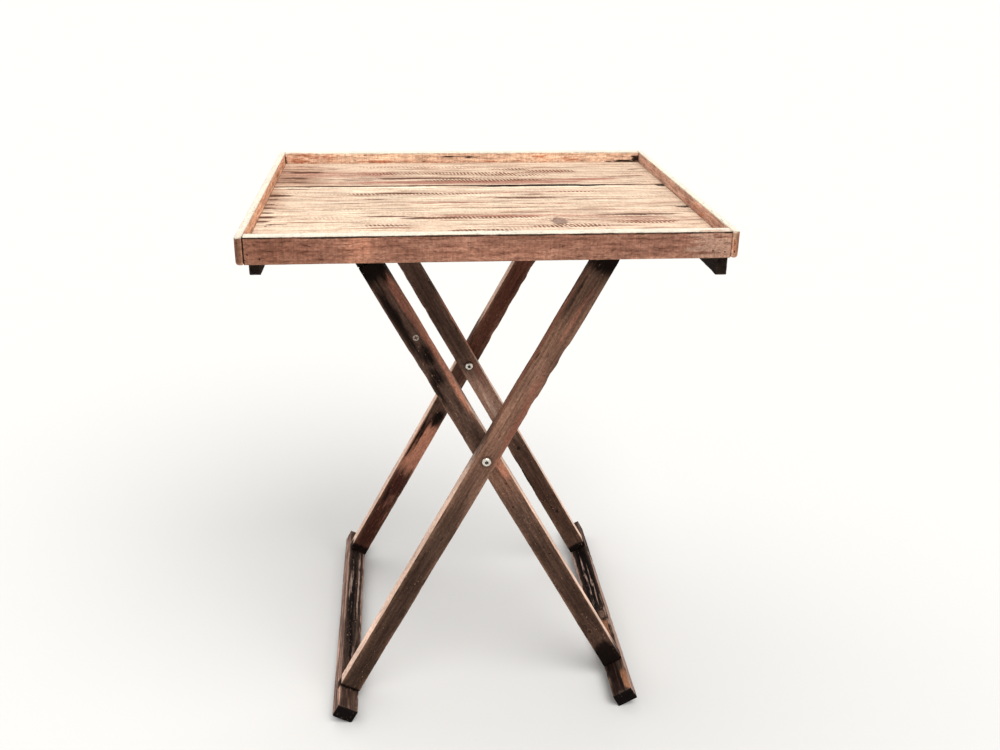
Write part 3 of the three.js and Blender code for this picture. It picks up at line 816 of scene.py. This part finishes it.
make_board(
    "plank_middle", PLANK, seed=8,
    zones=[(-20, 5, 330, 90, 9, 1.04, 1.08, 1.08), (-288, 20, 20, 90, 9, 0.75, 0.66, 0.62)],
    dark=[
        (-287, -36, 12, 4, 1.0), (-287, -55, 14, 5, 1.1), (-284, -8, 12, 4, 0.8),
        (-280, 16, 26, 6, 0.9), (-255, 60, 24, 4, 0.8), (-110, 24, 60, 5, 0.85),
        (-142, -12, 24, 6, 0.85), (84, -7, 70, 6, 0.75), (60, -42, 60, 5, 0.4),
        (0, SEAMS[1], ALL, 2.4, 0.7, 6),
    ],
    red=[(60, 28, 200, 8, 0.55), (-60, -34, 90, 6, 0.5), (100, -48, 60, 8, 0.45)],
    saw=[(-90, 22, 130, 7, 0.8), (150, 29, 62, 7, 0.6), (80, -7, 56, 8, 0.6)],
    # Pale lines by the seam: a painted highlight along the plank's edge.
    pale=[(-160, 67.5, 150, 5, 1.0, 4), (110, 62, 170, 6, 0.9, 4)],
    gap=[
        (104, SEAMS[1], 92, 6.5, 1.9, 6), (30, SEAMS[1], 16, 9, 1.6, 6),
        (60, SEAMS[1], 14, 9, 1.5, 6), (168, SEAMS[1], 16, 9, 1.5, 6),
        (286, SEAMS[1] - 3, 9, 7, 1.6, 6),
    ],
    bites=[
        (20, 2, 16, 1.8), (62, 2, 26, 2.8), (114, 2, 24, 2.4), (166, 2, 26, 2.9), (236, 2, 10, 1.5),
        (284, 3, 12, 2.0),
    ],
)
make_board(
    "plank_back", PLANK, seed=5,
    zones=[
        (-120, 120, 230, 90, 9, 0.89, 0.87, 0.86), (-268, 150, 46, 90, 9, 0.74, 0.62, 0.57),
        (150, 160, 190, 90, 9, 0.98, 0.99, 0.98),
    ],
    red=[
        (-10, 98, 230, 14, 0.8), (170, 114, 60, 8, 0.95), (-190, 160, 110, 30, 0.55),
        (130, 176, 44, 14, 0.6),
    ],
    dark=[
        (-268, 134, 26, 6, 1.0), (-272, 106, 30, 6, 0.95), (-250, 178, 30, 8, 0.8),
        (-258, 216, 20, 8, 0.6), (-70, 128, 90, 6, 0.95), (-190, 122, 90, 4, 0.75),
        (40, 110, 190, 4, 0.55), (272, 190, 26, 12, 0.4), (-140, SEAMS[1], 170, 5.5, 1.3, 6),
        (0, SEAMS[1], ALL, 3.2, 1.0, 6),
    ],
    saw=[
        (-30, 163, 150, 9, 1.0), (70, 148, 60, 8, 0.9), (66, 192, 34, 7, 1.0),
        (132, 174, 42, 14, 1.0), (20, 110, 100, 14, 0.9), (-60, 214, 190, 9, 0.5),
    ],
    gap=[(104, SEAMS[1], 92, 5.0, 1.9, 6)],
    bites=[
        (24, 3, 18, 1.8), (72, 3, 26, 2.8), (122, 3, 20, 2.4), (172, 3, 20, 2.6), (250, 3, 10, 1.6),
    ],
)
make_board(
    "rim_front", CROSS_RIM, face=FRONT, seed=11,
    holes=[(-286, 707.7, 1.0), (-272, 702.0, 1.2), (268, 704.5, 1.1), (283, 702.8, 1.1)],
    zones=[
        (-245, 712, 72, ALL, 12, 0.74, 0.67, 0.63), (-157, 712, 18, ALL, 12, 1.5, 1.46, 1.4),
        (-215, 714, 24, 16, 12, 1.1, 1.12, 1.15), (-120, 718, 40, 12, 12, 0.84, 0.8, 0.78),
        (90, 722, 100, 8, 12, 0.85, 0.82, 0.8), (215, 718, 46, 14, 12, 0.85, 0.84, 0.84),
        (-20, 704, 120, 10, 12, 1.12, 1.1, 1.08),
    ],
    dark=[(-291, 712, 1.6, ALL, 1.3, 8)],
    pale=[(272, 710, 34, 26, 0.8, 12)],
    elsewhere=[PAINTED_TOP_HIGHLIGHT, ("dark", (0, 727.4, FRONT + 0.5), (ALL, 1.3, 1.8), 0.85)],
)
make_board(
    "rim_back", CROSS_RIM, face=INSIDE, seed=14, chips=0.3,
    # Lightens the rim's inner face: painted light.
    zones=[(0, 720, ALL, ALL, 8, 2.7, 3.75, 3.85)],
    # The rows at 274 and 286 are painted shade in the corner by the right rim.
    dark=[
        (-15, 722, 40, 3, 0.8, 6), (-292, 716, 5, 12, 0.7, 6), (274, 714.6, 36, 2.6, 0.9, 6),
        (286, 718.5, 9, 5, 0.8, 6),
    ],
    red=[(-60, 715, 250, 3, 0.5, 6), (150, 718, 70, 8, 0.4, 6), (-250, 722, 50, 12, 0.6, 6)],
)
make_board(
    "rim_left", SIDE_RIM, face=LEFT_INSIDE, seed=17, worn_arrises={0: 4.5},
    # The first zone lightens the rim's inner face: painted light.
    zones=[(0, 720, ALL, ALL, 5, 2.75, 3.2, 3.0), (-265, 712, 6, ALL, ALL, 0.4, 0.33, 0.34)],
    red=[(150, 718, 110, 6, 0.5, 5)],
)
make_board(
    "rim_right", SIDE_RIM, face=RIGHT_INSIDE, seed=21, worn_arrises={3: 4.5, 2: 2.4},
    # The first zone lightens the rim's inner face, less than on the left: painted light.
    zones=[(0, 720, ALL, ALL, 5, 2.1, 2.6, 2.8), (-265, 712, 6, ALL, ALL, 1.15, 1.1, 1.05)],
    red=[(-120, 716, 90, 8, 0.5, 5)],
    elsewhere=[
        PAINTED_TOP_HIGHLIGHT, ("red", (-265, 709, 294.5), (4, 10, 2.2), 1.0),
        ("dark", (-265, 713, 294.0), (4, 4, 1.3), 0.62),
        ("dark", (-265, 703, 295.0), (4, 4, 1.3), 0.62),
    ],
    bites=[(-263, 0, 3, 1.5)],
)
make_board("batten_left", BATTEN, seed=23)
make_board("batten_right", BATTEN, seed=27)
make_board("hinge_batten", BATTEN, seed=31)
make_board("stop_cleat", BATTEN, seed=34)
make_board(
    "outer_leg_front", OUTER_LEG, face=OUTER_FRONT, seed=37,
    zones=[
        (70, 2, 130, 40, 9, 1.9, 1.76, 1.68), (235, 0, 60, 40, 9, 1.2, 1.15, 1.1),
        (-260, 0, 210, 40, 9, 0.46, 0.45, 0.44), (-400, 0, 80, 40, 9, 0.66, 0.68, 0.66),
    ],
    # Of these, the row at -420 is painted shade where the foot meets its rail.
    dark=[
        (0, 0, 9, 9, 0.62, 3), (262, -13, 44, 4, 0.6), (165, -15, 7, 2.0, 0.72, 6),
        (-420, 0, 6, 40, 1.2, 30),
    ],
    red=[(72, 11, 50, 6, 0.9), (34, 14, 36, 5, 0.9), (120, 6, 44, 6, 0.6), (236, 3, 60, 4, 0.6)],
    # Painted highlights on the narrow face that the light falls on.
    narrow=[("pale", -225, 210, 1.4), ("tan", 160, 130, 0.6)],
    # Painted shade over the leg's top, under the tray.
    elsewhere=[("dark", (342, 0, OUTER_FRONT + LATH_MIDDLE), (42, 40, 40), 1.3)],
    bites=[(172, 0, 16, 2.6), (150, 1, 12, 2.4), (101, 1, 14, 2.9), (184, 1, 14, 2.8)],
)
make_board(
    "outer_leg_rear", OUTER_LEG, face=OUTER_REAR, seed=42,
    zones=[
        (170, 0, 200, 40, 14, 1.0, 0.63, 0.57), (-360, 0, 100, 40, 14, 0.5, 0.3, 0.27),
        (-262, -2, 32, 24, 14, 0.62, 0.39, 0.39),
    ],
    tan=[(-178, 4, 62, 24, 1.0, 12)],
    # Of these, the row at -412 is painted shade where the foot meets its rail.
    dark=[
        (-160, -11, 60, 2.4, 1.0), (-150, -5, 44, 1.6, 0.7), (-120, 4, 20, 12, 0.85),
        (-292, -6, 20, 5, 0.58), (-412, 0, 10, 40, 0.9, 30),
    ],
    red=[(-190, 2, 50, 6, 0.7), (-300, 3, 22, 6, 0.6), (-335, 8, 50, 4, 0.45, 12)],
    # Painted highlights on the narrow face that the light falls on.
    narrow=[("pale", -250, 240, 1.5), ("pale", 200, 130, 1.2)],
    # Painted shade over the leg's top, under the tray.
    elsewhere=[("dark", (334, 0, OUTER_REAR + LATH_MIDDLE), (50, 40, 40), 1.2)],
    bites=[
        (188, 1, 13, 3.2), (158, 1, 10, 2.6), (122, 1, 14, 2.4), (61, 1, 14, 3.0),
        (232, 1, 18, 2.4), (250, 0, 14, 1.8),
    ],
)
make_board(
    "inner_leg_front", INNER_LEG, face=INNER_FRONT, seed=47,
    knots=[(-146, 2, 4, 3), (-347, -5, 8, 5)],
    holes=[(-347, -6, 2.3), (-96, -6, 1.3), (-192, 4, 1.4), (-58, 3, 1.2)],
    zones=[
        (-46, 2, 40, 40, 9, 1.7, 1.55, 1.45), (-290, 2, 200, 40, 9, 0.47, 0.45, 0.44),
        (180, 0, 140, 40, 9, 0.8, 0.8, 0.82),
    ],
    # Of these, the row at 331 is painted shade over the leg's top, under the tray, and the row at -418 painted
    # shade where the foot meets its rail; the row at -408 darkens the leg towards its foot.
    dark=[
        (331, -2, 46, 40, 1.4, 40), (226, -7, 86, 8, 0.72), (166, 3, 24, 11, 0.74),
        (134, -2, 20, 12, 0.72), (116, -11, 34, 5, 0.75), (36, 4, 30, 10, 0.45),
        (92, 4, 36, 3, 0.5), (-408, -3, 32, 22, 1.4, 30), (-418, 0, 7, 40, 1.3, 30),
    ],
    red=[(256, 11, 50, 6, 1.1), (186, 13, 60, 4.5, 1.1)],
    tan=[(110, 13, 60, 4.5, 0.9), (-27, 10, 30, 7, 0.9)],
    # Painted highlights on the narrow face that the light falls on.
    narrow=[("pale", -170, 250, 1.4), ("tan", 170, 110, 0.9)],
    bites=[(137, 0, 22, 2.4), (170, 0, 12, 2.0), (72, 1, 12, 2.2), (104, 0, 14, 2.0)],
)
make_board(
    "inner_leg_rear", INNER_LEG, face=INNER_REAR, seed=52,
    holes=[
        (-179.6, 0.4, 3.2), (-326.9, 2, 3.0), (-314, -3, 1.8), (-262, -12, 1.6), (-240, -14, 1.4),
        (-294, -9, 1.3),
    ],
    zones=[
        (-72, -2, 58, 40, 9, 3.3, 3.35, 3.4), (150, -2, 130, 40, 9, 0.72, 0.72, 0.74),
        (-300, -2, 160, 40, 9, 0.54, 0.48, 0.46),
    ],
    # Of these, the row at 324 is painted shade over the leg's top, under the tray, and the row at -416 painted
    # shade where the foot meets its rail.
    dark=[
        (324, 0, 50, 40, 1.0, 40), (0, 0, 9, 9, 0.62, 3), (-230, -15, 50, 2.6, 0.8),
        (-416, 0, 10, 40, 1.3, 30),
    ],
    pale=[(-94, -2, 44, 8, 0.4)],
    red=[(-20, 8, 40, 6, 0.6)],
    # Painted highlights on the narrow face that the light falls on.
    narrow=[("pale", -220, 220, 1.3), ("tan", 60, 70, 1.0)],
    bites=[
        (120, 0, 9, 2.8), (168, 0, 14, 2.0), (196, 0, 12, 2.4), (88, 1, 9, 2.4), (112, 1, 12, 2.2),
        (-169, 0, 12, 2.6), (-216, 0, 16, 3.0), (-262, 0, 14, 2.6),
    ],
)
make_board(
    "floor_rail_left", RAIL, space="outer", seed=57,
    # The first zone lightens the rail's side that the light falls on: painted light.
    zones=[(0, LEFT_SIDE, ALL, 2, ALL, 5.0, 5.0, 5.2), (-170, 0, 70, 14, 9, 1.3, 1.15, 1.1)],
    # The row at -186 is painted shade where the leg's foot stands on the rail.
    dark=[(50, -6, 130, 7, 0.95), (-80, -2, 70, 4, 0.8), (-186, 0, 9, 40, 1.0)],
    # Thin pale streaks over the rail's dark top: painted glints, and a paler band along its right side.
    pale=[
        (80, 5, 110, 2.2, 0.75), (60, 13, 160, 2.4, 0.75), (60, -8, 90, 3.4, 0.62),
        (-130, 2, 70, 1.4, 0.6), (-130, 12, 70, 2, 0.5),
    ],
    elsewhere=[DARK_END],
    bites=[
        (90, 0, 30, 2.2), (40, 0, 22, 1.8), (-10, 0, 26, 1.6), (60, 1, 22, 1.8), (10, 1, 20, 1.4),
    ],
)
make_board(
    "floor_rail_right", RAIL, space="inner", seed=62,
    knots=[(-50, 6, 12, 6)],
    zones=[(-196, -6, 70, 13, 12, 0.28, 0.2, 0.19), (80, 0, 130, 40, 9, 0.45, 0.42, 0.42)],
    dark=[(70, 2, 100, 11, 1.2)],
    pale=[
        (100, -15, 110, 3.4, 1.0), (70, -3, 100, 1.8, 0.68), (60, 6, 90, 1.6, 0.66),
        (-40, 12, 60, 2, 0.7),
    ],
    red=[(-86, 6, 30, 5, 0.9)],
    elsewhere=[
        ("red", (-212, 11, 424), (24, 5, 12), 1.1),
        # A painted highlight on the rail's side that the light falls on.
        ("pale", (-60, RIGHT_SIDE, 428), (190, 1.6, 14), 1.4), DARK_END,
    ],
)
make_board(
    "top_rail", INNER_LEG, along="y", seed=67,
    # Dark all over: painted shade under the tray.
    elsewhere=[("dark", (0, 0, 0), (ALL, ALL, ALL), 1.3)],
)

# ---- Turned pieces: bolts, nuts, washers, screws and nails --------------------------------------

BOLT_SIDES, SCREW_SIDES = 48, 24  # points round a turned piece
CRISP = math.radians(32)  # a sharper edge isn't shaded smooth


def outline_radius(shape, angle):
    """How far a unit outline lies from the middle, at an angle."""
    if shape == "hex":
        return 1 / math.cos((angle + math.pi / 6) % (math.pi / 3) - math.pi / 6)
    if shape == "cross":
        c, s = abs(math.cos(angle)) + 1e-9, abs(math.sin(angle)) + 1e-9
        arm = 0.3
        return max(min(1 / c, arm / s), min(arm / c, 1 / s))
    return 1.0


def turned(name, drawn, closed, sides, matrix, material):
    """A piece turned about z, from its drawn rings."""
    angles = [2 * math.pi * i / sides for i in range(sides)]
    points, hollow = [], []
    for shape, radius, z, dirt in drawn:
        reaches = [radius * outline_radius(shape, angle) for angle in angles]
        points += [(r * math.cos(a), r * math.sin(a), z) for r, a in zip(reaches, angles)]
        hollow += [dirt] * sides
    if not closed:
        points += [(0, 0, drawn[0][2]), (0, 0, drawn[-1][2])]
        hollow += [drawn[0][3], drawn[-1][3]]
    faces = [face[::-1] for face in ring_faces(len(drawn), sides, closed)]
    points = np.array(points)
    marks = {"hollow": np.array(hollow), "run": points}
    piece = mesh_object(name, points, faces, marks, matrix, material)
    piece.data.set_sharp_from_angle(angle=CRISP)
    return piece


def rings(shape, *profile):
    """Rings of one outline: each is a radius, a height and how hollow it lies."""
    return [(shape, *ring) for ring in profile]


def both_sides(upper):
    """The rings from a piece's bore over its upper side, and back over its lower side."""
    return upper + [(shape, radius, -z, dirt) for shape, radius, z, dirt in reversed(upper)]


def thread(radius, top, bottom, pitch):
    """Rings down a threaded shank, between two heights."""
    heights = [top - i * pitch for i in range(int((top - bottom) / pitch))]
    turns = [[(radius, z, 0.3), (radius * 0.84, z - pitch / 2, 0.9)] for z in heights]
    return rings("round", *sum(turns, []))


def bolt_rings(length):
    head, high, shank, floor, smooth, pitch = 6.5, 4.2, 3.9, -2.2, 30, 1.25
    recess = [(0.4, floor, 1.0), (2.25, floor, 1.0), (2.35, floor + 0.4, 1.0)]
    dome = [(3.4, 0.0), (4.5, -0.18), (5.4, -0.65), (6.05, -1.4), (6.4, -2.4), (head, -3.3)]
    return [
        *rings("hex", *recess, (2.45, -0.12, 0.35), (2.6, 0.0, 0.0)),
        *rings("round", *[(radius, z, 0.0) for radius, z in dome]),
        *rings("round", (head - 0.15, -high, 0.6), (shank, -high - 0.01, 0.9)),
        *thread(shank, -high - smooth, -length + 1, pitch),
        *rings("round", (shank - 0.7, -length, 0.4)),
    ]


def nut_rings(high):
    apothem, bore, half = 6.3, 3.95, high / 2
    inside = rings("round", (bore, half - 0.5, 0.8), (bore + 0.5, half, 0.3))
    outside = rings("round", (apothem - 0.2, half, 0.0)) + rings("hex", (apothem, half - 0.75, 0.0))
    return both_sides(inside + outside)


def washer_rings(thick):
    outer, bore, half = 8.0, 4.2, thick / 2
    inside = rings("round", (bore, half - 0.15, 0.7), (bore + 0.2, half, 0.5))
    outside = rings("round", (outer - 0.3, half, 0.1), (outer, half - 0.3, 0.0))
    return both_sides(inside + outside)


def screw_rings(length):
    head, shank = 4.2, 2.0
    recess = [(0.5, -1.7, 1.0), (1.5, -1.5, 1.0), (2.5, -0.1, 0.5), (2.6, 0.0, 0.1)]
    dome = [(3.4, 0.0, 0.0), (4.0, -0.08, 0.0), (head, -0.3, 0.1)]
    point = [(shank, -2.5, 0.4), (shank, -length * 0.8, 0.4), (0.2, -length, 0.3)]
    return rings("cross", *recess) + rings("round", *dome, *point)


def nail_rings(length):
    head, shank = 2.6, 1.3
    top = [(0.9, 0.0, 0.3), (1.9, -0.05, 0.1), (head - 0.15, -0.2, 0.1)]
    rim = [(head, -0.45, 0.2), (head - 0.1, -1.1, 0.6)]
    point = [(shank, -1.3, 0.5), (shank, -length + 3, 0.5), (0.15, -length, 0.5)]
    return rings("round", *top, *rim, *point)


NICKEL = metal_material("nickel", (226, 220, 210), (186, 178, 166), (34, 27, 23), 0.22)
ZINC = metal_material("zinc", (186, 184, 178), (140, 128, 112), (58, 38, 26), 0.38)
OLD_STEEL = metal_material("old_steel", (170, 156, 144), (120, 102, 90), (40, 28, 22), 0.5)


LEG_AXES = [SPACES[space].to_3x3() @ Vector((0, 0, 1)) for space in ("outer", "inner")]
SCREW_AXES = [sign * axis for axis in (*AXES.values(), *LEG_AXES) for sign in (1, -1)]


def outward_axis(points):
    """A screw's or nail's exact axis, out of its head."""
    centre = points.mean(0)
    _, _, rows = np.linalg.svd(points - centre, full_matrices=False)
    along = (points - centre) @ rows[0]
    aside = np.linalg.norm(points - centre - np.outer(along, rows[0]), axis=1)
    rough = Vector(rows[0]) * (1 if along[np.argmax(aside)] > 0 else -1)
    return max(SCREW_AXES, key=lambda axis: axis.dot(rough))


def make_turned(node, rings_for, material, slot, line=None, centred=False, sides=SCREW_SIDES):
    """Puts a turned piece where a CAD fastener is: its head at the node's outer end."""
    points = np.unique(points_of(node).round(7), axis=0)
    through, axis = line or (Vector(points.mean(0)), outward_axis(points))
    along = (points - np.array(through)) @ np.array(axis)
    length = (along.max() - along.min()) / MM
    place = through + axis * float((along.min() + along.max()) / 2 if centred else along.max())
    matrix = Matrix.Translation(place) @ axis.to_track_quat("Z", "Y").to_matrix().to_4x4()
    piece = turned(node + "_turned", rings_for(length), centred, sides, matrix, material)
    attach(piece, BODY_OF[node])
    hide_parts(node)


PIVOT_LINE = (PIVOT, Vector((0, -1, 0)))
on_pivot = {"line": PIVOT_LINE, "sides": BOLT_SIDES}
for end in ("front", "rear"):
    make_turned(f"pivot_bolt_{end}", bolt_rings, NICKEL, "bright_steel", **on_pivot)
    make_turned(f"pivot_nut_{end}", nut_rings, NICKEL, "bright_steel", centred=True, **on_pivot)
    for washer in ("pivot_spacer", "nut_washer"):
        name = f"{washer}_{end}"
        make_turned(name, washer_rings, NICKEL, "bright_steel", centred=True, **on_pivot)

for node in frame["nodes"]:
    if "_screw_" in node:
        make_turned(node, screw_rings, ZINC, "zinc_fastener")
    elif node.startswith("rim_nail_"):
        make_turned(node, nail_rings, ZINC, "zinc_fastener")
    elif node.startswith("hinge_pin_"):
        frame["nodes"][node].data.materials[0] = ZINC

# An old screw left in the inner front leg, its head nearly flush with the wood.
OLD_SCREW_PLACE = Vector((1.8, INNER_FRONT + 0.1, 195.8)) * MM
OLD_SCREW_LENGTH = 9
old_screw_matrix = (
    SPACES["inner"] @ Matrix.Translation(OLD_SCREW_PLACE) @ Matrix.Rotation(math.pi / 2, 4, "X")
)
old_screw = turned(
    "old_screw", screw_rings(OLD_SCREW_LENGTH), False, SCREW_SIDES, old_screw_matrix, OLD_STEEL
)
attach(old_screw, BODY_OF["inner_leg_front"])

# ---- Camera, light and stage --------------------------------------------------------------------

CAMERA_AT = Vector((-0.1089, -1.4328, 1.0421))
CAMERA_YAW, CAMERA_PITCH, CAMERA_ROLL = 6.396, -21.397, 0.928  # degrees, yaw to the right of +Y
LENS, SENSOR = 36.862, 36  # mm
LENS_SHIFT = (-0.010, -0.025)
CLIP_END = 200

camera = bpy.data.objects.new("camera", bpy.data.cameras.new("camera"))
camera.data.lens = LENS
camera.data.sensor_width = SENSOR
camera.data.shift_x, camera.data.shift_y = LENS_SHIFT
camera.data.clip_end = CLIP_END
camera.matrix_world = Matrix.Translation(CAMERA_AT)
for degrees, axis in ((-CAMERA_YAW, "Z"), (90 + CAMERA_PITCH, "X"), (CAMERA_ROLL, "Z")):
    camera.matrix_world @= Matrix.Rotation(math.radians(degrees), 4, axis)
bpy.context.scene.collection.objects.link(camera)
bpy.context.scene.camera = camera

# A sun's place says only where its light comes from.
SUN_COLOUR = (1.0, 0.985, 0.96)
SUNS = [
    {"name": "key", "comes_from": (0.35, -0.55, 0.95), "strength": 3.0, "spread": 50},
    {"name": "fill", "comes_from": (-0.4, 0.5, 1.0), "strength": 1.8, "spread": 70},
]
for sun in SUNS:
    light = bpy.data.lights.new(sun["name"], "SUN")
    light.energy = sun["strength"]
    light.angle = math.radians(sun["spread"])
    light.color = SUN_COLOUR
    lamp = bpy.data.objects.new(sun["name"], light)
    lamp.location = sun["comes_from"]
    lamp.rotation_mode = "QUATERNION"
    lamp.rotation_quaternion = Vector(sun["comes_from"]).to_track_quat("Z", "Y")
    bpy.context.scene.collection.objects.link(lamp)

SKY_STRENGTH = 0.78
world = bpy.data.worlds.new("studio")
world.use_nodes = True
background = world.node_tree.nodes["Background"]
background.inputs["Color"].default_value = (1, 1, 1, 1)
background.inputs["Strength"].default_value = SKY_STRENGTH
bpy.context.scene.world = world

FLOOR_HALF = 60.0
FLOOR_DROP = 0.0003  # keeps the floor from lying in the very plane of the worn feet
FLOOR_LOOKS = {
    "Base Color": (0.5, 0.497, 0.49, 1),
    "Roughness": 1.0,
    "Specular IOR Level": 0.0,
}
floor_mesh = bpy.data.meshes.new("floor")
corners = CORNERS * FLOOR_HALF
floor_mesh.from_pydata([(x, y, -FLOOR_DROP) for x, y in corners], [], [(0, 1, 2, 3)])
floor = bpy.data.objects.new("floor", floor_mesh)
bpy.context.scene.collection.objects.link(floor)
floor_material = bpy.data.materials.new("floor")
floor_material.use_nodes = True
floor_shader = floor_material.node_tree.nodes["Principled BSDF"]
for key, value in FLOOR_LOOKS.items():
    floor_shader.inputs[key].default_value = value
floor_mesh.materials.append(floor_material)

bpy.context.scene.view_settings.view_transform = "Standard"
